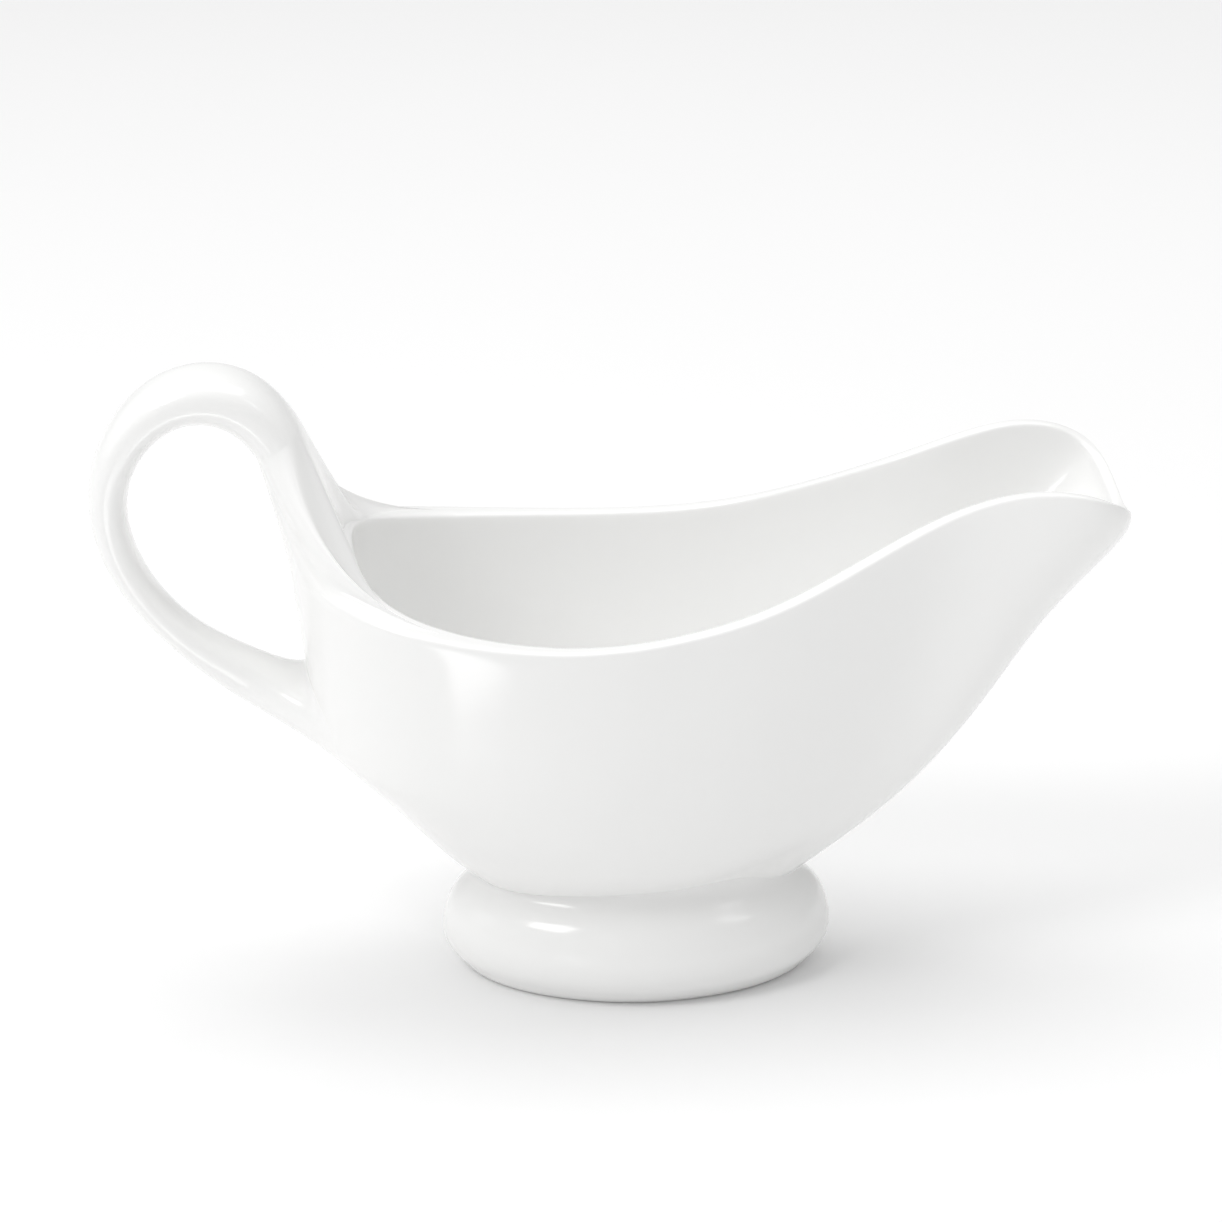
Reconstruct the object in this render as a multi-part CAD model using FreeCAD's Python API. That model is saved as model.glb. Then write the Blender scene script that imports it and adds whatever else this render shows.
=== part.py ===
import FreeCAD, Part
import math
import os

# Gravy boat in glazed porcelain: boat-shaped bowl with a long pouring spout,
# a cushion-shaped hollow foot and a strap handle looped from rim to belly.
# Millimetres, Z up. +X points along the spout, -X carries the handle.
# The shapes are drawn about the foot's axis; at the end everything is moved
# along X so that the origin is the bottom centre of the whole boat.

V = FreeCAD.Vector

# ---------------------------------------------------------------- bowl rim
SPOUT_REACH = 98.5      # foot axis to the crest of the lip at the spout tip
BACK_REACH = 64.0       # foot axis to the crest of the lip at the handle end
BEAM = 82.6             # width between lip crests at the widest place
SPOUT_HALF = 22.6       # half width of the spout between lip crests
TIP_HEIGHT = 98.3       # crest height at the spout tip
SPOUT_HEIGHT = 108.4    # crest height at the top of the spout
WAIST_HEIGHT = 84.8     # lowest crest height, beside the belly
BACK_HEIGHT = 95.0      # crest height at the handle end
LIP = 4.0               # thickness of the rolled lip
BACK_LIP = 13.5         # thickness of the lip where the handle grows from it
BACK_SHARPNESS = 14     # how quickly that thickening dies out along the sides
LIP_ROUND = 2.2         # how far the lip's two edges lie under its crest
TIP_ROUND = 2.0         # how much further the outer edge lies down at the tip
TIP_SHARPNESS = 6       # how quickly both die out away from the tip
TIP_TUCK = 0.8          # share of the outer half lip tucked in at the tip

# ---------------------------------------------------------------- bowl body
BASE_LENGTH = 56.4      # flat under the bowl, hidden in the foot
BASE_WIDTH = 29.4
BASE_HEIGHT = 17.0
FLOOR_THICKNESS = 6.0   # bowl floor above that flat
WALL = 4.4              # wall thickness at the edge of the floor

# Profile of the body as (reach, rise) shares of the way from the flat to
# the lip, for the spout keel, the two sides and the handle end.
KEEL = [(0.24, 0.17), (0.415, 0.34), (0.59, 0.54), (0.745, 0.76), (0.91, 0.91)]
SIDE = [(0.285, 0.085), (0.61, 0.125), (0.835, 0.37), (0.945, 0.66), (1.0, 0.85)]
STERN = [(0.24, 0.105), (0.485, 0.275), (0.75, 0.43), (0.91, 0.505), (0.90, 0.62)]
INNER_STERN = [(0.28, 0.08), (0.60, 0.24), (0.90, 0.38), (0.97, 0.55), (1.0, 0.80)]
SHELF = [0.0, 0.0, 0.06, 0.14, 0.12]    # extra inner reach under the back lip

# ---------------------------------------------------------------- foot
FOOT_LENGTH = 79.8      # over the cushion
FOOT_WIDTH = 56.0
FOOT_SQUARENESS = 1.92      # 2 is an ellipse, lower is more pointed
FOOT_BELLY_HEIGHT = 9.2     # height of the cushion's widest line
CONTACT_INSET = 5.6     # cushion edge to the outside of the standing ring
RING_WIDTH = 3.6        # standing ring
NECK_INSET = 7.1        # cushion edge to the foot's waist under the bowl
NECK_HEIGHT = 22.9
RECESS_DEPTH = 10.0     # hollow under the foot

# ---------------------------------------------------------------- handle
# Centre line of the strap: (x, z), thickness, width.
STRAP = [
    (-64.0, 84.0, 10.0, 22.0),
    (-64.4, 97.5, 11.6, 24.0),
    (-69.3, 111.0, 10.4, 21.5),
    (-78.9, 123.0, 11.0, 20.0),
    (-93.8, 123.5, 9.7, 19.0),
    (-104.9, 110.0, 8.2, 17.0),
    (-103.8, 91.3, 6.7, 15.0),
    (-92.4, 75.2, 6.2, 14.0),
    (-77.2, 64.5, 9.8, 13.5),
    (-57.0, 52.0, 13.0, 16.0),
]
STRAP_SQUARENESS = 2.6  # 2 is an ellipse, higher is flatter
JOINT = 0.5             # layer of fired slip at each joint

COLUMNS = 32            # stations around the bowl and the foot
STRAP_COLUMNS = 24


# ---------------------------------------------------------------- splines
def closed_poles(points):
    """Poles of the closed cubic spline through evenly spaced points."""
    n = len(points)
    root = math.sqrt(3.0) - 2.0
    scale = 6.0 / (2.0 * math.sqrt(3.0)) / (1.0 - root ** n)
    share = [scale * (root ** k + root ** (n - k)) for k in range(n)]
    poles = []
    for i in range(n):
        total = V(0, 0, 0)
        for k in range(n):
            total = total + points[(i + k) % n] * share[k]
        poles.append(total)
    return poles


def closed_value(poles, s):
    """Point of a closed cubic spline at turn s, 0 to 1."""
    n = len(poles)
    i = int(math.floor(s * n))
    f = s * n - i
    w = [(1 - f) ** 3 / 6.0, (3 * f ** 3 - 6 * f ** 2 + 4) / 6.0,
         (-3 * f ** 3 + 3 * f ** 2 + 3 * f + 1) / 6.0, f ** 3 / 6.0]
    out = V(0, 0, 0)
    for k in range(4):
        out = out + poles[(i - 1 + k) % n] * w[k]
    return out


def open_poles(points):
    """Poles of the natural cubic spline through the points, ends clamped."""
    n = len(points)
    inner = n - 2
    ratio = [0.0] * inner
    value = [None] * inner
    for i in range(inner):
        rhs = points[i + 1] * 6.0
        if i == 0:
            rhs = rhs - points[0]
        if i == inner - 1:
            rhs = rhs - points[n - 1]
        below = 1.0 if i else 0.0
        pivot = 4.0 - (below * ratio[i - 1] if i else 0.0)
        ratio[i] = 1.0 / pivot
        value[i] = (rhs - (value[i - 1] if i else V(0, 0, 0))) * (1.0 / pivot)
    for i in range(inner - 2, -1, -1):
        value[i] = value[i] - value[i + 1] * ratio[i]
    first = (points[0] * 2.0 + value[0]) * (1.0 / 3.0)
    last = (points[n - 1] * 2.0 + value[-1]) * (1.0 / 3.0)
    return [points[0], first] + value + [last, points[n - 1]]


def skin_solid(rows):
    """Solid with one closed spline skin over rows of poles, both ends capped.

    The first and the last row lie in a plane each.
    """
    count_v = len(rows)
    count_u = len(rows[0])
    poles = [[rows[j][i] for j in range(count_v)] for i in range(count_u)]
    uknots = [float(k) for k in range(count_u + 1)]
    umults = [1] * (count_u + 1)
    vknots = [float(k) for k in range(count_v - 2)]
    vmults = [4] + [1] * (count_v - 4) + [4]
    surface = Part.BSplineSurface()
    surface.buildFromPolesMultsKnots(
        poles, umults, vmults, uknots, vknots, True, False, 3, 3)
    wall = surface.toShape()
    caps = []
    for v in (vknots[0], vknots[-1]):
        edge = surface.vIso(v).toShape()
        caps.append(Part.Face(Part.Wire([edge])))
    shell = Part.makeShell([wall] + caps)
    if not shell.isClosed():
        sewn = Part.makeCompound([wall] + caps)
        sewn.sewShape()
        shell = sewn.Shells[0]
    solid = Part.makeSolid(shell)
    if solid.Volume < 0:
        solid.reverse()
    return solid


# ---------------------------------------------------------------- bowl
def crest_points():
    """Sixteen points round the crest of the lip, from the tip."""
    spout = SPOUT_HEIGHT
    half = [
        V(SPOUT_REACH, 0, TIP_HEIGHT),
        V(0.964 * SPOUT_REACH, 0.89 * SPOUT_HALF, 0.59 * spout + 0.41 * TIP_HEIGHT),
        V(0.807 * SPOUT_REACH, 1.01 * SPOUT_HALF, spout),
        V(0.59 * SPOUT_REACH, 0.98 * SPOUT_HALF, 0.76 * spout + 0.24 * WAIST_HEIGHT),
        V(0.32 * SPOUT_REACH, 0.378 * BEAM, 0.29 * spout + 0.71 * WAIST_HEIGHT),
        V(0.082 * SPOUT_REACH, 0.462 * BEAM, 0.047 * spout + 0.953 * WAIST_HEIGHT),
        V(-0.32 * BACK_REACH, 0.5 * BEAM, WAIST_HEIGHT),
        V(-0.83 * BACK_REACH, 0.36 * BEAM, 0.54 * WAIST_HEIGHT + 0.46 * BACK_HEIGHT),
        V(-BACK_REACH, 0, BACK_HEIGHT),
    ]
    return half + [V(p.x, -p.y, p.z) for p in half[7:0:-1]]


def back_share(turn, power):
    """1 at the handle end, 0 at the spout; sharper with a higher power."""
    return ((1.0 - math.cos(turn)) / 2.0) ** power


def lip_loops():
    """Outer side, crest and inner side of the lip, and its lower outer edge."""
    poles = closed_poles(crest_points())
    outer, crest, inner, edge = [], [], [], []
    for i in range(COLUMNS):
        s = float(i) / COLUMNS
        turn = 2.0 * math.pi * s
        p = closed_value(poles, s)
        ahead = closed_value(poles, (s + 0.002) % 1.0)
        behind = closed_value(poles, (s - 0.002) % 1.0)
        along = V(ahead.x - behind.x, ahead.y - behind.y, 0)
        along.normalize()
        out = V(along.y, -along.x, 0)
        half = 0.5 * (LIP + (BACK_LIP - LIP) * back_share(turn, BACK_SHARPNESS))
        tip = back_share(math.pi - turn, TIP_SHARPNESS)
        outside = p + out * (half * (1.0 - TIP_TUCK * tip))
        crest.append(p)
        outer.append(outside)
        inner.append(p - out * half)
        edge.append(outside - V(0, 0, LIP_ROUND + TIP_ROUND * tip))
    return outer, crest, inner, edge


def oval(length, width, z, squareness=2.0):
    """Oval loop round the foot axis."""
    loop = []
    for i in range(COLUMNS):
        turn = 2.0 * math.pi * i / COLUMNS
        c = math.cos(turn)
        s = math.sin(turn)
        x = math.copysign(abs(c) ** (2.0 / squareness), c)
        y = math.copysign(abs(s) ** (2.0 / squareness), s)
        loop.append(V(0.5 * length * x, 0.5 * width * y, z))
    return loop


def body_rows(flat, lip, stern, shelf):
    """Loops between a flat oval and a lip loop, by the body profiles."""
    rows = []
    for k in range(len(SIDE)):
        row = []
        for i in range(COLUMNS):
            turn = 2.0 * math.pi * i / COLUMNS
            back = back_share(turn, 3)
            front = back_share(math.pi - turn, 3)
            side = 1.0 - back - front
            reach = front * KEEL[k][0] + side * SIDE[k][0] + back * stern[k][0]
            reach = reach + shelf[k] * back_share(turn, BACK_SHARPNESS)
            rise = front * KEEL[k][1] + side * SIDE[k][1] + back * stern[k][1]
            a = flat[i]
            b = lip[i]
            row.append(V(a.x + (b.x - a.x) * reach, a.y + (b.y - a.y) * reach,
                         a.z + (b.z - a.z) * rise))
        rows.append(row)
    return rows


def lowered(loop, drop):
    return [V(p.x, p.y, p.z - drop) for p in loop]


def outer_rows():
    """Loops of the outer skin, from the hidden flat to the lip's outer edge."""
    edge = lip_loops()[3]
    flat = oval(BASE_LENGTH, BASE_WIDTH, BASE_HEIGHT)
    return [flat] + body_rows(flat, edge, STERN, [0.0] * len(SIDE)) + [edge]


def make_bowl():
    """Thick-walled bowl: outer skin, rolled lip, inner skin and flat floor."""
    outer, crest, inner = lip_loops()[:3]
    floor_z = BASE_HEIGHT + FLOOR_THICKNESS
    floor = oval(BASE_LENGTH - 2 * WALL, BASE_WIDTH - 2 * WALL, floor_z)
    edge = lowered(inner, LIP_ROUND)
    inside = [floor] + body_rows(floor, edge, INNER_STERN, SHELF) + [edge]
    rows = outer_rows() + [outer, crest, inner] + inside[::-1]
    return skin_solid([closed_poles(row) for row in rows])


def make_hull():
    """The outer skin filled solid and carried up past the lip, for cutting."""
    rows = outer_rows()
    top = SPOUT_HEIGHT + 40.0
    cap = [V(p.x, p.y, top) for p in rows[-1]]
    return skin_solid([closed_poles(row) for row in rows + [cap]])


# ---------------------------------------------------------------- foot
def foot_blank():
    """Cushion-shaped foot, hollow underneath, before the bowl is let in."""
    recess = CONTACT_INSET + RING_WIDTH
    profile = [
        (NECK_INSET, NECK_HEIGHT + 7.0),
        (NECK_INSET, NECK_HEIGHT + 3.0),
        (NECK_INSET, NECK_HEIGHT),
        (NECK_INSET - 1.2, NECK_HEIGHT - 3.0),
        (1.8, FOOT_BELLY_HEIGHT + 8.0),
        (-0.4, FOOT_BELLY_HEIGHT + 2.0),
        (-0.2, FOOT_BELLY_HEIGHT - 3.5),
        (0.5 * CONTACT_INSET, 2.8),
        (CONTACT_INSET, -0.6),
        (recess, -0.6),
        (recess + 1.4, 0.35 * RECESS_DEPTH),
        (recess + 3.0, RECESS_DEPTH),
        (recess + 6.0, RECESS_DEPTH),
    ]
    rows = [closed_poles(oval(FOOT_LENGTH - 2 * inset, FOOT_WIDTH - 2 * inset, z,
                             FOOT_SQUARENESS))
            for inset, z in profile]
    blank = skin_solid(rows)
    room = Part.makeBox(2 * FOOT_LENGTH, 2 * FOOT_WIDTH, 60.0,
                        V(-FOOT_LENGTH, -FOOT_WIDTH, 0))
    return blank.common(room)


# ---------------------------------------------------------------- handle
def strap_blank():
    """Strap handle, long enough at both ends to be let into the bowl."""
    path = open_poles([V(x, 0, z) for x, z, t, w in STRAP])
    size = open_poles([V(t, w, 0) for x, z, t, w in STRAP])
    centre = Part.BSplineCurve()
    knots = [float(k) for k in range(len(STRAP))]
    mults = [4] + [1] * (len(STRAP) - 2) + [4]
    centre.buildFromPolesMultsKnots(path, mults, knots, False, 3)
    gauge = Part.BSplineCurve()
    gauge.buildFromPolesMultsKnots(size, mults, knots, False, 3)
    sections = []
    stations = 3 * (len(STRAP) - 1)
    for j in range(stations + 1):
        u = knots[-1] * j / stations
        p = centre.value(u)
        along = centre.tangent(u)[0]
        normal = V(-along.z, 0, along.x)
        measure = gauge.value(u)
        loop = []
        for i in range(STRAP_COLUMNS):
            turn = 2.0 * math.pi * i / STRAP_COLUMNS
            c = math.cos(turn)
            s = math.sin(turn)
            a = math.copysign(abs(c) ** (2.0 / STRAP_SQUARENESS), c)
            b = math.copysign(abs(s) ** (2.0 / STRAP_SQUARENESS), s)
            loop.append(p + normal * (0.5 * measure.x * a) + V(0, 0.5 * measure.y * b, 0))
        sections.append(closed_poles(loop))
    columns = [open_poles([row[i] for row in sections]) for i in range(STRAP_COLUMNS)]
    rows = [[column[j] for column in columns] for j in range(stations + 3)]
    return skin_solid(rows)


def largest(shape):
    """The biggest solid of a cut."""
    return max(shape.Solids, key=lambda s: s.Volume)


def moved(shape, x, y, z):
    out = shape.copy()
    out.translate(V(x, y, z))
    return out


# ---------------------------------------------------------------- assembly
def build():
    """All the parts, drawn about the foot's axis."""
    bowl = make_bowl()
    hull = make_hull()
    blank = foot_blank()
    sunk = moved(hull, 0, 0, -JOINT)
    foot = largest(blank.cut(sunk))
    foot_joint = largest(blank.common(sunk).cut(hull))

    strap = strap_blank()
    split = 0.5 * (STRAP[0][1] + STRAP[-1][1]) + 8.0
    below = Part.makeBox(400, 200, split, V(-200, -100, 0))
    low_hull = hull.common(below)
    raised = moved(bowl, 0, 0, JOINT)
    pulled = moved(low_hull, -JOINT, 0, 0.3 * JOINT)
    handle = largest(strap.cut(raised).cut(bowl).cut(pulled).cut(low_hull))
    upper_joint = largest(strap.common(raised).cut(bowl))
    lower_joint = largest(strap.common(pulled).cut(low_hull))
    return {
        "bowl": bowl,
        "foot": foot,
        "handle": handle,
        "foot_joint": foot_joint,
        "upper_handle_joint": upper_joint,
        "lower_handle_joint": lower_joint,
    }


def main():
    shapes = build()
    whole = Part.makeCompound(list(shapes.values())).optimalBoundingBox(False)
    shift = -0.5 * (whole.XMin + whole.XMax)
    os.makedirs("parts", exist_ok=True)
    for name, shape in shapes.items():
        moved(shape, shift, 0, 0).exportStep("parts/" + name + ".step")


main()
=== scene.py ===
"""Glazed porcelain gravy boat: long-spouted bowl, hollow foot and strap handle."""

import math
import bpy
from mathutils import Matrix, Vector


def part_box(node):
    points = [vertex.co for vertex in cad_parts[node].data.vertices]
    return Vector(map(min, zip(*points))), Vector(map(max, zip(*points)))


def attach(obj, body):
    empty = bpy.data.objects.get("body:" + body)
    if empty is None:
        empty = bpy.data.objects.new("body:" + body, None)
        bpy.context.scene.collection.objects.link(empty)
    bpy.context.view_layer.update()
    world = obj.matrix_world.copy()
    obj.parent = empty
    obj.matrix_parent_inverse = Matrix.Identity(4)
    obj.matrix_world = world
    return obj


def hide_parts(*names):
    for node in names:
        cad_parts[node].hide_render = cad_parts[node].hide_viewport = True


bl_info = {
    "name": "Gravy Boat",
    "version": (1, 0, 0),
    "blender": (4, 5, 0),
    "location": "View3D > Sidebar > Gravy Boat",
    "description": "Builds a glazed porcelain gravy boat and its plain studio stage",
    "category": "Add Mesh",
}

import bpy
import numpy as np
from bpy.props import FloatProperty, FloatVectorProperty, PointerProperty
from mathutils import Vector

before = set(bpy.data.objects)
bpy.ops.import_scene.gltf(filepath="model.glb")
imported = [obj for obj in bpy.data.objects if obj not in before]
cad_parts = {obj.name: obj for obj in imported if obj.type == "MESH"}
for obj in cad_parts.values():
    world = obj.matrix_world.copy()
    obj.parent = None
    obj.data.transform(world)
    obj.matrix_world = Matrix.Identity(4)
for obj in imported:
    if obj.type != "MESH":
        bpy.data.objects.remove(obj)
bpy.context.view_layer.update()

TAU = 2.0 * math.pi
MM = 0.001
FOOT_LOW, FOOT_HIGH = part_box("foot")
FOOT_AXIS = 0.5 * (FOOT_LOW[0] + FOOT_HIGH[0])  # x of the foot's upright axis

# Spline skins
LOOPS = 32  # points round each loop of bowl and foot
CREST_POINTS = 16  # points round the lip's crest
CREST_STATION = 7.0  # station of the lip's crest on the bowl's skin
NUDGE = 0.01  # turn or station step that gives a skin's or the strap's slope

# Powers of back_share: the higher, the closer a share keeps to the middle plane
END_SHARPNESS = 3  # keel's and stern's shares of the profile
TIP_SHARPNESS = 6  # rounding and tuck of the spout's tip
BACK_SHARPNESS = 14  # thick lip under the handle

# Mesh columns round a piece and rows along it
BOWL_COLUMNS, BOWL_ROWS = 360, 236
FOOT_COLUMNS, FOOT_ROWS = 300, 200
HANDLE_COLUMNS, STRAP_ROWS, FLARE_ROWS = 96, 240, 80

# Handle: samples up the stern, those on its rising outside, and where the strap
# runs into its upper and lower flare, in stations of the centre line
STERN_SAMPLES, RISING_SAMPLES = 1401, 500
UPPER_JOIN, LOWER_JOIN = 2.37, 7.8
FLARE_SINK = 0.03 * MM  # how deep the edge of a flare lies in the bowl's skin
FLARE_CAPS = ((0.05, 2.0), (0.35, 1.8), (0.7, 1.0))  # size, and sink in mm

# Painted shade on the bowl's outside, greying the glaze: it fades out below the
# lip's crest and deepens downwards, with a band of painted shade round an oval in
# the crease over the foot. Lengths are in metres, and heights count from the table.
LIP_FADE = 0.8  # in stations
SHADE_TOP, SHADE_FADE = 0.080, 0.055
CREASE_HALF_X, CREASE_HALF_Y, CREASE_TOP = 0.0345, 0.0238, 0.035
CREASE_NARROWNESS = 22.0

# Foot: more painted shade from this height up, and bare biscuit from this height down
WAIST_START, WAIST_FADE = 0.0215, 0.004
BARE_TOP, BARE_FADE = 0.0002, 0.0009

# Stage: each soft box's name, place, width and height in metres, and watts
SOFT_BOXES = (
    ("key_box", (-0.85, -0.70, 1.2), (0.5, 0.5), 5.5),
    ("left_box", (-1.2, 0.0, 0.45), (0.4, 0.5), 0.4),
    ("right_box", (0.85, -0.40, 1.17), (0.25, 0.4), 0.7),
    ("top_box", (0.0, 0.3, 1.6), (1.6, 1.2), 11.0),
)
CARD_HEIGHT = 0.002  # of the card that lies just over the floor
SKY_LEFT, SKY_RIGHT = 0.70, 0.48  # strength of the white sky at both sides
FLOOR_REACH = 6.0  # half the floor's side
AIM_SHIFT = -5.3 * MM  # aim point, along x from the foot's axis


# ------------------------------------------------------------------ settings
def length(label, text, value):
    """A length property in metres, given in millimetres."""
    return FloatProperty(name=label, description=text, default=value * MM, min=0.0,
                         unit="LENGTH", subtype="DISTANCE")


def shares(label, text, values):
    """A list of numbers, one for each point of a profile or centre line."""
    return FloatVectorProperty(name=label, description=text, default=values,
                               size=len(values))


def colour(label, text, value):
    """A colour property."""
    return FloatVectorProperty(name=label, description=text, default=value, size=3,
                               min=0.0, max=1.0, subtype="COLOR")


class BowlSizes(bpy.types.PropertyGroup):
    """Sizes of the bowl, measured from the foot's axis and from the table."""

    spout_reach: length("Spout reach", "Foot axis to the lip crest at the tip", 98.5)
    back_reach: length("Back reach", "Foot axis to the lip crest at the handle", 64.0)
    beam: length("Beam", "Width between the lip crests at the belly", 82.6)
    spout_half: length("Spout half width", "Half the spout's width at its lip", 22.6)
    tip_height: length("Tip height", "Lip crest height at the spout's tip", 98.3)
    spout_height: length("Spout height", "Highest point of the spout's lip", 108.4)
    waist_height: length("Waist height", "Lowest point of the lip", 84.8)
    back_height: length("Back height", "Lip crest height at the handle", 95.0)
    lip: length("Lip", "Thickness of the rolled lip", 4.0)
    back_lip: length("Back lip", "Thickness of the lip under the handle", 13.5)
    lip_round: length("Lip rounding", "Drop from the crest to the lip's edges", 2.2)
    tip_round: length("Tip rounding", "Extra drop of the outer edge at the tip", 2.0)
    tip_tuck: FloatProperty(name="Tip tuck", default=0.8, min=0.0, max=1.0,
                            description="Share of the outer half lip tucked in there")
    base_length: length("Base length", "Length of the flat under the bowl", 56.4)
    base_width: length("Base width", "Width of the flat under the bowl", 29.4)
    base_height: length("Base height", "Height of the flat under the bowl", 17.0)
    floor_thickness: length("Floor", "Thickness of the bowl's floor", 6.0)
    wall: length("Wall", "Wall thickness at the floor's edge", 4.4)
    keel_reach: shares("Keel reach", "Outward shares along the spout's keel",
                       (0.24, 0.415, 0.59, 0.745, 0.91))
    keel_rise: shares("Keel rise", "Upward shares along the spout's keel",
                      (0.17, 0.34, 0.54, 0.76, 0.91))
    side_reach: shares("Side reach", "Outward shares up the belly",
                       (0.285, 0.61, 0.835, 0.945, 1.0))
    side_rise: shares("Side rise", "Upward shares up the belly",
                      (0.085, 0.125, 0.37, 0.66, 0.85))
    stern_reach: shares("Stern reach", "Outward shares up the handle end",
                        (0.24, 0.485, 0.75, 0.91, 0.90))
    stern_rise: shares("Stern rise", "Upward shares up the handle end",
                       (0.105, 0.275, 0.43, 0.505, 0.62))
    inner_reach: shares("Inner stern reach", "The same, inside the bowl",
                        (0.28, 0.60, 0.90, 0.97, 1.0))
    inner_rise: shares("Inner stern rise", "The same, inside the bowl",
                       (0.08, 0.24, 0.38, 0.55, 0.80))
    shelf: shares("Shelf", "Extra inner reach under the thick back lip",
                  (0.0, 0.0, 0.06, 0.14, 0.12))


class FootSizes(bpy.types.PropertyGroup):
    """Sizes of the cushion-shaped foot."""

    span_x: length("Foot length", "Length over the cushion", 79.8)
    span_y: length("Foot width", "Width over the cushion", 56.0)
    belly_height: length("Belly height", "Height of the foot's widest line", 9.2)
    contact_inset: length("Contact inset", "Widest line to the standing ring", 5.6)
    ring_width: length("Ring width", "Width of the standing ring", 3.6)
    neck_inset: length("Neck inset", "Widest line to the waist under the bowl", 7.1)
    neck_height: length("Neck height", "Height of that waist", 22.9)
    recess_depth: length("Recess depth", "Depth of the hollow underneath", 10.0)
    squareness: FloatProperty(name="Squareness", default=1.92, min=1.5, max=4.0,
                              description="2 is an ellipse, higher is squarer")


class HandleSizes(bpy.types.PropertyGroup):
    """Centre line and gauge of the strap handle, from rim to belly."""

    along: shares("Centre line x", "Distances from the foot's axis, in mm",
                  (-64.0, -64.4, -69.3, -78.9, -93.8, -104.9, -103.8, -92.4, -77.2,
                   -57.0))
    height: shares("Centre line z", "Heights, in mm",
                   (84.0, 97.5, 111.0, 123.0, 123.5, 110.0, 91.3, 75.2, 64.5, 52.0))
    thick: shares("Thickness", "Strap thickness, in mm",
                  (10.0, 11.6, 10.4, 11.0, 9.7, 8.2, 6.7, 6.2, 9.8, 13.0))
    wide: shares("Width", "Strap width, in mm",
                 (22.0, 24.0, 21.5, 20.0, 19.0, 17.0, 15.0, 14.0, 13.5, 16.0))
    root_height: length("Root height", "Middle of the lower root on the belly", 57.0)
    squareness: FloatProperty(name="Squareness", default=2.6, min=1.5, max=6.0,
                              description="2 is an ellipse, higher is flatter")


class GlazeFinish(bpy.types.PropertyGroup):
    """Colours and gloss of the porcelain, and the grey of its painted shade."""

    body: colour("Glaze", "Clear glaze over white porcelain", (0.93, 0.93, 0.925))
    # The grey tint stands in for shade: painted shade on the glaze.
    pool: colour("Painted shade", "Glaze greyed to stand in for shade", (0.76, 0.77, 0.775))
    biscuit: colour("Biscuit", "Bare fired porcelain", (0.80, 0.77, 0.72))
    gloss: FloatProperty(name="Roughness", default=0.06, min=0.0, max=1.0,
                         description="Roughness of the glaze", subtype="FACTOR")


class StageSettings(bpy.types.PropertyGroup):
    """Camera and studio."""

    azimuth: FloatProperty(name="Azimuth", default=math.radians(-3.72), subtype="ANGLE",
                           description="Camera direction round the boat")
    elevation: FloatProperty(name="Elevation", default=math.radians(20.5),
                             subtype="ANGLE", description="Camera height angle")
    distance: length("Distance", "Camera to the aim point", 1000.0)
    aim_height: length("Aim height", "Height of the aim point", 77.1)
    lens: FloatProperty(name="Lens", default=145.2, subtype="DISTANCE_CAMERA",
                        description="Focal length in mm")
    floor: colour("Floor", "Plain pale floor", (0.96, 0.96, 0.96))


# ------------------------------------------------------------------ splines
def bump(d):
    """Uniform cubic B-spline weight at distance d, in stations, from its pole."""
    d = np.abs(d)
    near = (4.0 - 6.0 * d ** 2 + 3.0 * d ** 3) / 6.0
    far = (2.0 - d) ** 3 / 6.0
    return np.where(d < 1.0, near, np.where(d < 2.0, far, 0.0))


def even_turns(count):
    """Evenly spaced turns, from 0 up to but without 2 pi."""
    return np.arange(count) * TAU / count


def ring_weights(turn, count):
    """Weights of the poles of a closed spline at the given turns, 0 to 2 pi."""
    d = np.asarray(turn)[..., None] * count / TAU - np.arange(count)
    return bump((d + 0.5 * count) % count - 0.5 * count)


def ring_poles(points):
    """Poles of the closed spline through evenly spaced points (last-but-one axis)."""
    count = points.shape[-2]
    return np.linalg.solve(ring_weights(even_turns(count), count), points)


def open_weights(v, count):
    """Weights of a cubic spline with clamped ends, v from 0 to count - 3.

    Each degree mixes two neighbours of the degree below: one fades in over its
    knots, and the next one fades out over its own.
    """
    spans = count - 3
    knots = np.concatenate([np.zeros(3), np.arange(spans + 1.0), np.full(3, spans)])
    v = np.clip(np.asarray(v, float), 0.0, spans - 1e-9)[..., None]
    w = ((v >= knots[:-1]) & (v < knots[1:])).astype(float)
    for degree in (1, 2, 3):
        low = knots[:-1 - degree]
        high = knots[degree + 1:]
        up = np.maximum(knots[degree:-1] - low, 1e-12)
        down = np.maximum(high - knots[1:len(knots) - degree], 1e-12)
        w = w[..., :-1] * (v - low) / up + w[..., 1:] * (high - v) / down
    return w


def natural_spline(points, u):
    """Points and slopes of the natural cubic spline through points, at stations u.

    The second differences m solve m[i-1] + 4 m[i] + m[i+1] = 6 times the points'
    second difference, and are 0 at both ends.
    """
    count = len(points)
    system = np.diag(np.full(count - 2, 4.0))
    system += np.diag(np.ones(count - 3), 1) + np.diag(np.ones(count - 3), -1)
    bend = np.zeros_like(points)
    bend[1:-1] = np.linalg.solve(system, 6.0 * np.diff(points, 2, axis=0))
    i = np.clip(np.floor(u).astype(int), 0, count - 2)
    f = (u - i)[:, None]
    g = 1.0 - f
    value = (g * points[i] + f * points[i + 1]
             + ((g ** 3 - g) * bend[i] + (f ** 3 - f) * bend[i + 1]) / 6.0)
    slope = (points[i + 1] - points[i]
             + ((1.0 - 3.0 * g ** 2) * bend[i]
                + (3.0 * f ** 2 - 1.0) * bend[i + 1]) / 6.0)
    return value, slope


def power(c, squareness):
    """Signed power that turns a circle's cosine into a superellipse's."""
    return np.sign(c) * np.abs(c) ** (2.0 / squareness)


def smooth(x):
    """Smooth step from 0 to 1, level at both ends."""
    x = np.clip(x, 0.0, 1.0)
    return x * x * (3.0 - 2.0 * x)


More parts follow.
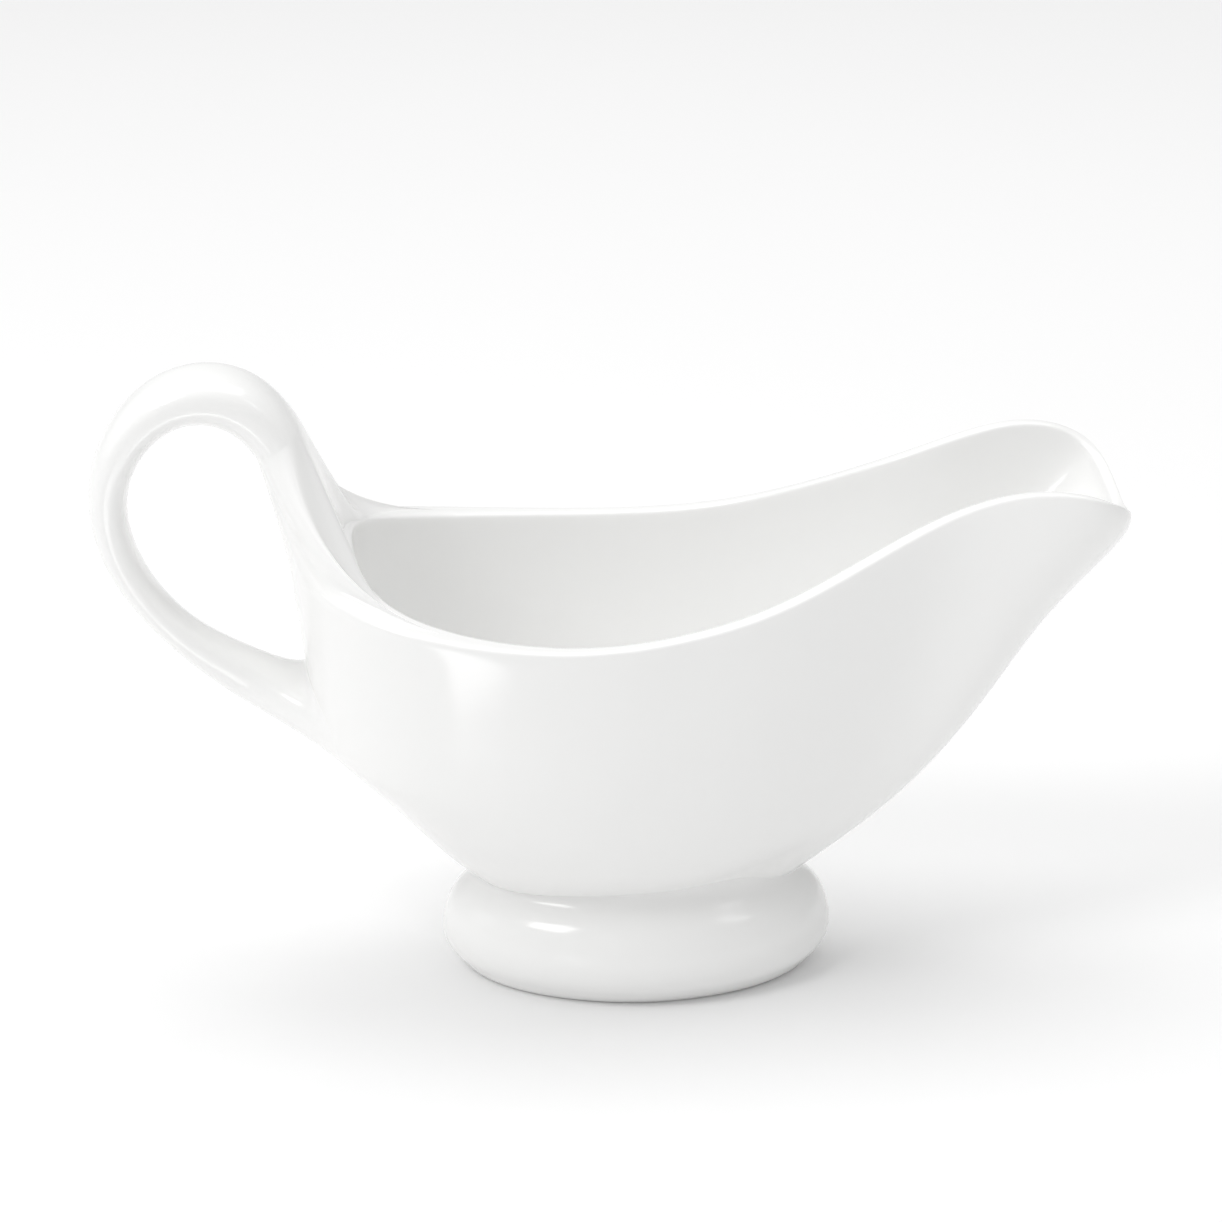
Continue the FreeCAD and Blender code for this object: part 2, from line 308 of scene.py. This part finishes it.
# ------------------------------------------------------------------ bowl shape
def lip_crest(b):
    """Points round the lip's crest from the tip, mirrored in the middle plane.

    Each is a share of the reach and of the width, and its height is mixed from
    two of the tip's, the spout's, the waist's and the back's.
    """
    top, low = b.spout_height, b.waist_height
    half = np.array([
        (b.spout_reach, 0.0, b.tip_height),
        (0.964 * b.spout_reach, 0.89 * b.spout_half, 0.59 * top + 0.41 * b.tip_height),
        (0.807 * b.spout_reach, 1.01 * b.spout_half, top),
        (0.59 * b.spout_reach, 0.98 * b.spout_half, 0.76 * top + 0.24 * low),
        (0.32 * b.spout_reach, 0.378 * b.beam, 0.29 * top + 0.71 * low),
        (0.082 * b.spout_reach, 0.462 * b.beam, 0.047 * top + 0.953 * low),
        (-0.32 * b.back_reach, 0.5 * b.beam, low),
        (-0.83 * b.back_reach, 0.36 * b.beam, 0.54 * low + 0.46 * b.back_height),
        (-b.back_reach, 0.0, b.back_height),
    ])
    return np.concatenate([half, half[7:0:-1] * (1.0, -1.0, 1.0)])


def back_share(turn, sharpness):
    """Half of 1 less the turn's cosine, to a power: 1 at the handle, 0 at the spout."""
    return ((1.0 - np.cos(turn)) / 2.0) ** sharpness


def oval(span_x, span_y, z, squareness=2.0):
    """Level superellipse loop about the foot's axis."""
    turn = even_turns(LOOPS)
    x = 0.5 * span_x * power(np.cos(turn), squareness)
    y = 0.5 * span_y * power(np.sin(turn), squareness)
    return np.stack([x, y, np.full(LOOPS, z)], -1)


def body_loops(flat, lip, profiles, shelf):
    """Loops from a flat oval to a lip loop.

    Each point goes a share of the way outward and another share of the way up.
    The shares are the keel's, the belly's and the stern's, mixed by the turn.
    """
    turn = even_turns(LOOPS)
    back = back_share(turn, END_SHARPNESS)
    front = back_share(math.pi - turn, END_SHARPNESS)
    mix = np.stack([front, 1.0 - back - front, back])
    reach = np.array([p[0] for p in profiles]).T @ mix
    reach += np.outer(shelf, back_share(turn, BACK_SHARPNESS))
    rise = np.array([p[1] for p in profiles]).T @ mix
    loops = np.empty((len(shelf), LOOPS, 3))
    loops[..., :2] = flat[:, :2] + (lip - flat)[:, :2] * reach[..., None]
    loops[..., 2] = flat[:, 2] + (lip - flat)[:, 2] * rise
    return loops


def bowl_poles(b):
    """Spline poles of the whole bowl skin: outside up, over the lip, inside down.

    The lip's edges lie half its thickness out and in from the crest, square to
    it and level, and a rounding lower. At the tip the outer one is tucked in.
    """
    poles = ring_poles(lip_crest(b))
    turn = even_turns(LOOPS)
    crest = ring_weights(turn, CREST_POINTS) @ poles
    along = (ring_weights(turn + NUDGE, CREST_POINTS)
             - ring_weights(turn - NUDGE, CREST_POINTS)) @ poles
    out = np.stack([along[:, 1], -along[:, 0], np.zeros(LOOPS)], -1)
    out /= np.linalg.norm(out, axis=1, keepdims=True)
    thick = back_share(turn, BACK_SHARPNESS)
    half = 0.5 * (b.lip + (b.back_lip - b.lip) * thick)[:, None]
    tip = back_share(math.pi - turn, TIP_SHARPNESS)[:, None]
    outer = crest + out * half * (1.0 - b.tip_tuck * tip)
    inner = crest - out * half
    up = np.array([0.0, 0.0, 1.0])
    outer_edge = outer - up * (b.lip_round + b.tip_round * tip)
    inner_edge = inner - up * b.lip_round
    keel = (np.array(b.keel_reach), np.array(b.keel_rise))
    side = (np.array(b.side_reach), np.array(b.side_rise))
    stern = (np.array(b.stern_reach), np.array(b.stern_rise))
    inside = (np.array(b.inner_reach), np.array(b.inner_rise))
    flat = oval(b.base_length, b.base_width, b.base_height)
    floor = oval(b.base_length - 2.0 * b.wall, b.base_width - 2.0 * b.wall,
                 b.base_height + b.floor_thickness)
    none = np.zeros(len(b.shelf))
    rise = body_loops(flat, outer_edge, (keel, side, stern), none)
    fall = body_loops(floor, inner_edge, (keel, side, inside), np.array(b.shelf))
    rows = np.concatenate([[flat], rise, [outer_edge, outer, crest, inner, inner_edge],
                           fall[::-1], [floor]])
    return ring_poles(rows)


def skin_point(poles, turn, v):
    """Points of a spline skin at matching arrays of turn and v."""
    a = ring_weights(turn, poles.shape[1])
    c = open_weights(v, poles.shape[0])
    return np.einsum("...i,...j,jik->...k", a, c, poles)


def skin_grid(poles, turns, stations):
    """Points of a spline skin on a grid, stations by turns."""
    a = ring_weights(turns, poles.shape[1])
    c = open_weights(stations, poles.shape[0])
    return np.einsum("vj,jik,ti->vtk", c, poles, a)


# ------------------------------------------------------------------ foot shape
def foot_profile(f):
    """Insets from the widest line and heights, from the top down and round inside."""
    recess = f.contact_inset + f.ring_width
    return [
        # top, hidden in the bowl
        (f.neck_inset + 12.0 * MM, f.neck_height - 4.0 * MM),
        (f.neck_inset + 6.0 * MM, f.neck_height - 0.5 * MM),
        (f.neck_inset + 0.5 * MM, f.neck_height + 4.6 * MM),
        (f.neck_inset, f.neck_height + 3.0 * MM),
        # waist and belly
        (f.neck_inset, f.neck_height),
        (f.neck_inset - 1.2 * MM, f.neck_height - 3.0 * MM),
        (1.8 * MM, f.belly_height + 8.0 * MM),
        (-0.4 * MM, f.belly_height + 2.0 * MM),
        (-0.2 * MM, f.belly_height - 3.5 * MM),
        (0.5 * f.contact_inset, 2.8 * MM),
        # standing ring, cut level at the table, and recess
        (f.contact_inset, -0.6 * MM),
        (recess, -0.6 * MM),
        (recess + 1.4 * MM, 0.35 * f.recess_depth),
        (recess + 3.0 * MM, f.recess_depth),
        (recess + 6.0 * MM, f.recess_depth),
    ]


# ------------------------------------------------------------------ handle shape
def strap_loops(h, u):
    """Loops of the strap at stations u of its centre line.

    Each is a superellipse square to the centre line, as thick as the gauge in the
    middle plane and as wide across it. It goes round against the turn, so that
    the faces point outwards.
    """
    phase = -even_turns(HANDLE_COLUMNS)
    line = np.array([h.along, np.zeros(len(h.along)), h.height]).T * MM
    gauge = np.array([h.thick, h.wide]).T * MM
    centre, slope = natural_spline(line, u)
    size, _ = natural_spline(gauge, u)
    slope = slope / np.linalg.norm(slope, axis=1, keepdims=True)
    normal = np.stack([-slope[:, 2], 0.0 * u, slope[:, 0]], -1)
    across = 0.5 * size[:, :1] * power(np.cos(phase), h.squareness)
    loops = centre[:, None] + normal[:, None] * across[..., None]
    loops[..., 1] += 0.5 * size[:, 1:] * power(np.sin(phase), h.squareness)
    return loops


def stern_track(bowl):
    """Stations up the stern in the middle plane, with the run so far and height."""
    stations = np.linspace(0.0, bowl.shape[0] - 3, STERN_SAMPLES)
    points = skin_point(bowl, np.full(STERN_SAMPLES, math.pi), stations)
    steps = np.linalg.norm(np.diff(points, axis=0), axis=1)
    return stations, np.concatenate([[0.0], np.cumsum(steps)]), points[:, 2]


def flare(bowl, h, centre, half_turn, low, high, lens, u, lean, step):
    """Loops from the bowl's skin to the strap at station u, cap rows first.

    Every point follows a cubic Hermite curve. It leaves the edge of an oval on
    the skin along the skin, sunk a little, and joins the strap along it. The
    oval lies round the run centre up the stern. It reaches half_turn to each
    side, and low and high along the stern, and lens sets how pointed its sides
    are. The two numbers of lean are the pulls of the skin and of the strap.
    """
    stations, run, _ = stern_track(bowl)
    phase = -even_turns(HANDLE_COLUMNS)
    side = np.where(np.cos(phase) > 0.0, low, high) * power(np.cos(phase), lens)

    def seat(size, sink):
        """The oval scaled by size, sunk square to the skin."""
        turn = math.pi - half_turn * size * np.sin(phase)
        v = np.interp(centre - side * size, run, stations)
        level = skin_point(bowl, turn + NUDGE, v) - skin_point(bowl, turn - NUDGE, v)
        over = skin_point(bowl, turn, v + NUDGE) - skin_point(bowl, turn, v - NUDGE)
        out = np.cross(level, over)
        out /= np.linalg.norm(out, axis=1, keepdims=True)
        return skin_point(bowl, turn, v) - out * sink

    edge = seat(1.0, FLARE_SINK)
    inward = (seat(0.9, FLARE_SINK) - edge) / 0.1
    end = strap_loops(h, np.array([u]))[0]
    onward = (strap_loops(h, np.array([u + step]))[0] - end) / step
    w = np.linspace(0.0, 1.0, FLARE_ROWS)[:, None, None]
    rows = ((2.0 * w ** 3 - 3.0 * w ** 2 + 1.0) * edge
            + (w ** 3 - 2.0 * w ** 2 + w) * inward * lean[0]
            + (3.0 * w ** 2 - 2.0 * w ** 3) * end
            + (w ** 3 - w ** 2) * onward * lean[1] * np.sign(step))
    caps = [seat(size, sink * MM) for size, sink in FLARE_CAPS]
    return np.concatenate([caps, rows])


# ------------------------------------------------------------------ meshes
def grid_faces(rows, columns):
    """Quads of a grid whose columns close on themselves."""
    r = np.arange(rows - 1)[:, None]
    c = np.arange(columns)[None, :]
    d = (c + 1) % columns
    quads = np.stack([r * columns + c, r * columns + d,
                      (r + 1) * columns + d, (r + 1) * columns + c], -1)
    return quads.reshape(-1, 4)


def closed_tube(name, grid):
    """Mesh object of rows of closed loops.

    A fan closes each end, round a point in the middle of the end's loop.
    """
    rows, columns = grid.shape[:2]
    ends = [grid[0].mean(0), grid[-1].mean(0)]
    points = np.concatenate([grid.reshape(-1, 3), ends])
    points = points + (FOOT_AXIS, 0.0, 0.0)
    quads = grid_faces(rows, columns)
    c = np.arange(columns)
    d = (c + 1) % columns
    last = (rows - 1) * columns
    low = np.stack([d, c, np.full(columns, rows * columns)], -1)
    high = np.stack([last + c, last + d, np.full(columns, rows * columns + 1)], -1)
    corners = np.concatenate([quads.ravel(), low.ravel(), high.ravel()])
    sizes = np.concatenate([np.full(len(quads), 4), np.full(2 * columns, 3)])
    starts = np.concatenate([[0], np.cumsum(sizes)[:-1]])
    mesh = bpy.data.meshes.new(name)
    mesh.vertices.add(len(points))
    mesh.vertices.foreach_set("co", points.astype(np.float32).ravel())
    mesh.loops.add(len(corners))
    mesh.loops.foreach_set("vertex_index", corners.astype(np.int32))
    mesh.polygons.add(len(sizes))
    mesh.polygons.foreach_set("loop_start", starts.astype(np.int32))
    mesh.polygons.foreach_set("use_smooth", np.ones(len(sizes), bool))
    mesh.update(calc_edges=True)
    mesh.validate()
    piece = bpy.data.objects.new(name, mesh)
    bpy.context.scene.collection.objects.link(piece)
    return piece


def mark(piece, name, values):
    """Stores one number per vertex for the material to read."""
    layer = piece.data.attributes.new(name, "FLOAT", "POINT")
    layer.data.foreach_set("value", np.asarray(values, np.float32))


def points_of(piece):
    """The mesh points about the foot's axis."""
    co = np.empty(3 * len(piece.data.vertices), np.float32)
    piece.data.vertices.foreach_get("co", co)
    return co.reshape(-1, 3).astype(float) - (FOOT_AXIS, 0.0, 0.0)


def bowl_painted_shade(points, stations):
    """Share of painted shade, greying the glaze, at each of the bowl's points.

    Outside, it is two fifths, and rises smoothly by nearly a half from belly to
    foot. It fades to nothing just below the lip's crest, and inside there is
    none. Low down, a band of painted shade round the oval crease over the foot
    is added, bell shaped in the points' share of the oval's size.
    """
    outside = np.repeat(smooth((CREST_STATION - stations) / LIP_FADE), BOWL_COLUMNS)
    outside = np.append(outside, [1.0, 0.0])  # middle points under and inside
    low = smooth((SHADE_TOP - points[:, 2]) / SHADE_FADE)
    neck = np.hypot(points[:, 0] / CREASE_HALF_X, points[:, 1] / CREASE_HALF_Y) - 1.0
    crease = np.exp(-(neck * CREASE_NARROWNESS) ** 2) * (points[:, 2] < CREASE_TOP)
    return outside * (0.40 + 0.45 * low) + 0.3 * crease


# ------------------------------------------------------------------ finishes
def add_node(tree, kind, place, **inputs):
    """Node at a place in the tree, with constants on its named sockets."""
    node = tree.nodes.new(kind)
    node.location = place
    for key, value in inputs.items():
        node.inputs[key.replace("_", " ")].default_value = value
    return node


def add_noise(tree, where, place, scale, detail):
    """Noise over the piece's own coordinates."""
    node = add_node(tree, "ShaderNodeTexNoise", place, Scale=scale, Detail=detail)
    tree.links.new(where.outputs["Object"], node.inputs["Vector"])
    return node


def add_mix(tree, place, first=None, second=None):
    """Mix of two colours; one that is left out is linked by the caller."""
    node = tree.nodes.new("ShaderNodeMix")
    node.data_type = "RGBA"
    node.location = place
    for socket, tint in (("A", first), ("B", second)):
        if tint is not None:
            node.inputs[socket].default_value = (*tint, 1.0)
    return node


def add_mark(tree, place, name):
    """The number that mark() stored on each vertex."""
    node = tree.nodes.new("ShaderNodeAttribute")
    node.attribute_name = name
    node.location = place
    return node


def darker(tint, share):
    """The colour with every channel times a share."""
    return tuple(share * c for c in tint)


def porcelain(finish):
    """White porcelain under clear glaze.

    The colour drifts a little over the surface, the glaze is greyer as painted
    shade where the vertices' painted-shade number is high, and bare and matt where
    "bare" is high. A slow unevenness and a fine orange peel bend the reflections.
    """
    material = bpy.data.materials.new("glazed_porcelain")
    material.use_nodes = True
    tree = material.node_tree
    tree.nodes.clear()
    link = tree.links.new
    out = add_node(tree, "ShaderNodeOutputMaterial", (900, 0))
    shader = add_node(tree, "ShaderNodeBsdfPrincipled", (600, 0),
                      IOR=1.52, Coat_Weight=0.5, Coat_Roughness=0.03, Coat_IOR=1.5,
                      Subsurface_Weight=0.12, Subsurface_Scale=0.004,
                      Subsurface_Radius=(1.0, 0.9, 0.8))
    link(shader.outputs["BSDF"], out.inputs["Surface"])
    where = add_node(tree, "ShaderNodeTexCoord", (-900, 0))
    painted_shade = add_mark(tree, (-600, 420), "painted_shade")
    bare = add_mark(tree, (-600, -200), "bare")

    # glaze, from clear to greyed by painted shade, over a slow drift
    drift = add_noise(tree, where, (-600, 200), scale=14.0, detail=3.0)
    shade_depth = add_node(tree, "ShaderNodeMath", (-350, 300))
    shade_depth.operation = "MULTIPLY_ADD"
    shade_depth.inputs[1].default_value = 0.25
    link(drift.outputs["Fac"], shade_depth.inputs[0])
    link(painted_shade.outputs["Fac"], shade_depth.inputs[2])
    shaded_glaze = add_mix(tree, (-100, 300), finish.body, finish.pool)
    link(shade_depth.outputs[0], shaded_glaze.inputs["Factor"])

    # bare biscuit with a fine grain
    grain = add_noise(tree, where, (-600, -450), scale=900.0, detail=4.0)
    tone = add_mix(tree, (-100, 60), finish.biscuit, darker(finish.biscuit, 0.88))
    link(grain.outputs["Fac"], tone.inputs["Factor"])

    paint = add_mix(tree, (150, 200))
    link(bare.outputs["Fac"], paint.inputs["Factor"])
    link(shaded_glaze.outputs["Result"], paint.inputs["A"])
    link(tone.outputs["Result"], paint.inputs["B"])
    link(paint.outputs["Result"], shader.inputs["Base Color"])
    rough = add_node(tree, "ShaderNodeMapRange", (150, -60),
                     To_Min=finish.gloss, To_Max=0.75)
    link(bare.outputs["Fac"], rough.inputs["Value"])
    link(rough.outputs["Result"], shader.inputs["Roughness"])

    # slow waves in the body, and orange peel in the glaze
    slow = add_noise(tree, where, (-600, -700), scale=38.0, detail=1.0)
    peel = add_noise(tree, where, (-600, -950), scale=420.0, detail=2.0)
    wave = add_node(tree, "ShaderNodeBump", (0, -500), Strength=0.10, Distance=0.0006)
    link(slow.outputs["Fac"], wave.inputs["Height"])
    skin = add_node(tree, "ShaderNodeBump", (300, -500), Strength=0.05, Distance=0.0001)
    link(peel.outputs["Fac"], skin.inputs["Height"])
    link(wave.outputs["Normal"], skin.inputs["Normal"])
    link(skin.outputs["Normal"], shader.inputs["Normal"])
    return material


def floor_finish(tint):
    """Matt white studio floor with a very faint unevenness."""
    material = bpy.data.materials.new("studio_floor")
    material.use_nodes = True
    tree = material.node_tree
    shader = tree.nodes["Principled BSDF"]
    shader.inputs["Roughness"].default_value = 0.9
    where = add_node(tree, "ShaderNodeTexCoord", (-900, 0))
    patch = add_noise(tree, where, (-600, 0), scale=3.0, detail=2.0)
    ramp = add_mix(tree, (-300, 0), tint, darker(tint, 0.985))
    tree.links.new(patch.outputs["Fac"], ramp.inputs["Factor"])
    tree.links.new(ramp.outputs["Result"], shader.inputs["Base Color"])
    return material


def glazed(piece):
    """Gives the piece the porcelain finish, made once."""
    material = bpy.data.materials.get("glazed_porcelain")
    if material is None:
        material = porcelain(bpy.context.scene.boat_glaze)
    piece.data.materials.append(material)


# ------------------------------------------------------------------ operators
class BOAT_OT_bowl(bpy.types.Operator):
    """Builds the bowl: outer skin, rolled lip, inner skin and floor in one mesh"""

    bl_idname = "boat.bowl"
    bl_label = "Bowl"

    def execute(self, context):
        poles = bowl_poles(context.scene.boat_bowl)
        stations = np.linspace(0.0, poles.shape[0] - 3, BOWL_ROWS)
        grid = skin_grid(poles, even_turns(BOWL_COLUMNS), stations)
        piece = closed_tube("boat_bowl", grid)
        p = points_of(piece)
        # Painted shade: the bowl's outside greyed, more low down and in the crease
        mark(piece, "painted_shade", bowl_painted_shade(p, stations))
        mark(piece, "bare", np.zeros(len(p)))
        glazed(piece)
        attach(piece, "root")
        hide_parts("bowl")
        return {"FINISHED"}


class BOAT_OT_foot(bpy.types.Operator):
    """Builds the cushion-shaped foot with its bare standing ring and recess"""

    bl_idname = "boat.foot"
    bl_label = "Foot"

    def execute(self, context):
        f = context.scene.boat_foot
        rows = [oval(f.span_x - 2.0 * inset, f.span_y - 2.0 * inset, z, f.squareness)
                for inset, z in foot_profile(f)]
        poles = ring_poles(np.array(rows))
        stations = np.linspace(0.0, len(rows) - 3, FOOT_ROWS)
        grid = skin_grid(poles, even_turns(FOOT_COLUMNS), stations)[::-1]
        grid[..., 2] = np.maximum(grid[..., 2], 0.0)
        piece = closed_tube("boat_foot", grid)
        z = points_of(piece)[:, 2]
        # Painted shade on the foot: greyer glaze all over, more under the bowl from the
        # waist up
        waist = smooth((z - WAIST_START) / WAIST_FADE)
        mark(piece, "painted_shade", 0.15 + 0.35 * waist)
        mark(piece, "bare", 1.0 - smooth((z - BARE_TOP) / BARE_FADE))
        glazed(piece)
        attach(piece, "root")
        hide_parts("foot", "foot_joint")
        return {"FINISHED"}


class BOAT_OT_handle(bpy.types.Operator):
    """Builds the strap handle and the flares that run it into rim and belly"""

    bl_idname = "boat.handle"
    bl_label = "Handle"

    def execute(self, context):
        h = context.scene.boat_handle
        bowl = bowl_poles(context.scene.boat_bowl)
        stations, run, height = stern_track(bowl)
        crest = np.interp(CREST_STATION, stations, run)
        belly = np.interp(h.root_height, height[:RISING_SAMPLES], run[:RISING_SAMPLES])
        upper = flare(bowl, h, crest, half_turn=0.583, low=14.0 * MM, high=14.0 * MM,
                      lens=0.5, u=UPPER_JOIN, lean=(1.65, 0.45), step=NUDGE)
        lower = flare(bowl, h, belly, half_turn=0.26, low=-11.0 * MM, high=-12.0 * MM,
                      lens=2.0, u=LOWER_JOIN, lean=(1.0, 1.0), step=-NUDGE)[::-1]
        free = strap_loops(h, np.linspace(UPPER_JOIN, LOWER_JOIN, STRAP_ROWS)[1:-1])
        piece = closed_tube("boat_handle", np.concatenate([upper, free, lower]))
        count = len(piece.data.vertices)
        # Painted shade: the whole strap's glaze greyed evenly
        mark(piece, "painted_shade", np.full(count, 0.70))
        mark(piece, "bare", np.zeros(count))
        glazed(piece)
        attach(piece, "root")
        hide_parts("handle", "upper_handle_joint", "lower_handle_joint")
        return {"FINISHED"}


def area_light(name, place, aim, size, energy):
    """Rectangular soft box at a place, facing the aim point."""
    lamp = bpy.data.lights.new(name, "AREA")
    lamp.shape = "RECTANGLE"
    lamp.size, lamp.size_y = size
    lamp.energy = energy
    holder = bpy.data.objects.new(name, lamp)
    holder.location = place
    direction = Vector(aim) - Vector(place)
    holder.rotation_euler = direction.to_track_quat("-Z", "Y").to_euler()
    bpy.context.scene.collection.objects.link(holder)
    return holder


def glint_card(name, place, turn, size, energy):
    """Low card facing up that is only seen mirrored in the glaze."""
    card = area_light(name, (*place, CARD_HEIGHT), (*place, 1.0), size, energy)
    card.rotation_euler = (math.pi, 0.0, math.radians(turn))
    card.visible_camera = False
    card.visible_diffuse = False


class BOAT_OT_stage(bpy.types.Operator):
    """Builds the plain floor, the soft lights, the sky and the camera"""

    bl_idname = "boat.stage"
    bl_label = "Stage"

    def execute(self, context):
        s = context.scene.boat_stage
        mesh = bpy.data.meshes.new("studio_floor")
        corners = [(x * FLOOR_REACH, y * FLOOR_REACH, 0.0)
                   for x, y in ((-1, -1), (1, -1), (1, 1), (-1, 1))]
        mesh.from_pydata(corners, [], [(0, 1, 2, 3)])
        floor = bpy.data.objects.new("studio_floor", mesh)
        floor.data.materials.append(floor_finish(s.floor))
        context.scene.collection.objects.link(floor)

        aim = Vector((FOOT_AXIS + AIM_SHIFT, 0.0, s.aim_height))
        for name, place, size, energy in SOFT_BOXES:
            area_light(name, place, aim, size, energy)
        glint_card("rim_card", (-0.115, -0.200), 50.0, (0.15, 0.05), 0.075)

        world = bpy.data.worlds.new("studio_sky")
        world.use_nodes = True
        tree = world.node_tree
        sky = tree.nodes["Background"]
        sky.inputs["Color"].default_value = (1.0, 1.0, 1.0, 1.0)
        where = add_node(tree, "ShaderNodeTexCoord", (-600, 0))
        split = add_node(tree, "ShaderNodeSeparateXYZ", (-400, 0))
        fade = add_node(tree, "ShaderNodeMapRange", (-200, 0), From_Min=-1.0,
                        From_Max=1.0, To_Min=SKY_LEFT, To_Max=SKY_RIGHT)
        tree.links.new(where.outputs["Generated"], split.inputs[0])
        tree.links.new(split.outputs["X"], fade.inputs["Value"])
        tree.links.new(fade.outputs["Result"], sky.inputs["Strength"])
        context.scene.world = world
        context.scene.view_settings.view_transform = "Standard"

        a, e = s.azimuth, s.elevation
        back = Vector((math.sin(a) * math.cos(e), -math.cos(a) * math.cos(e),
                       math.sin(e)))
        lens = bpy.data.cameras.new("studio_camera")
        lens.sensor_width = 36.0
        lens.lens = s.lens
        lens.clip_start = 0.05
        lens.clip_end = 30.0
        camera = bpy.data.objects.new("studio_camera", lens)
        camera.location = aim + back * s.distance
        camera.rotation_euler = (-back).to_track_quat("-Z", "Y").to_euler()
        context.scene.collection.objects.link(camera)
        context.scene.camera = camera
        return {"FINISHED"}


class BOAT_PT_panel(bpy.types.Panel):
    """Lists the boat's pieces and settings"""

    bl_idname = "BOAT_PT_panel"
    bl_label = "Gravy Boat"
    bl_space_type = "VIEW_3D"
    bl_region_type = "UI"
    bl_category = "Gravy Boat"

    def draw(self, context):
        for group, operator in PIECES:
            box = self.layout.box()
            settings = getattr(context.scene, group)
            for key in settings.bl_rna.properties.keys():
                if key not in {"rna_type", "name"}:
                    box.prop(settings, key)
            box.operator(operator)
        self.layout.prop(context.scene.boat_glaze, "body")
        self.layout.prop(context.scene.boat_glaze, "gloss")


PIECES = (
    ("boat_bowl", "boat.bowl"),
    ("boat_foot", "boat.foot"),
    ("boat_handle", "boat.handle"),
    ("boat_stage", "boat.stage"),
)
GROUPS = {
    "boat_bowl": BowlSizes,
    "boat_foot": FootSizes,
    "boat_handle": HandleSizes,
    "boat_glaze": GlazeFinish,
    "boat_stage": StageSettings,
}
CLASSES = (*GROUPS.values(), BOAT_OT_bowl, BOAT_OT_foot, BOAT_OT_handle,
           BOAT_OT_stage, BOAT_PT_panel)


def register():
    """Registers the classes and hangs each group of settings on the scene."""
    for cls in CLASSES:
        bpy.utils.register_class(cls)
    for name, group in GROUPS.items():
        setattr(bpy.types.Scene, name, PointerProperty(type=group))


def unregister():
    """Takes the settings off the scene and unregisters the classes."""
    for name in GROUPS:
        delattr(bpy.types.Scene, name)
    for cls in reversed(CLASSES):
        bpy.utils.unregister_class(cls)


def main():
    """Registers the add-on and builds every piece."""
    register()
    bpy.ops.boat.bowl()
    bpy.ops.boat.foot()
    bpy.ops.boat.handle()
    bpy.ops.boat.stage()


if __name__ == "__main__":
    main()
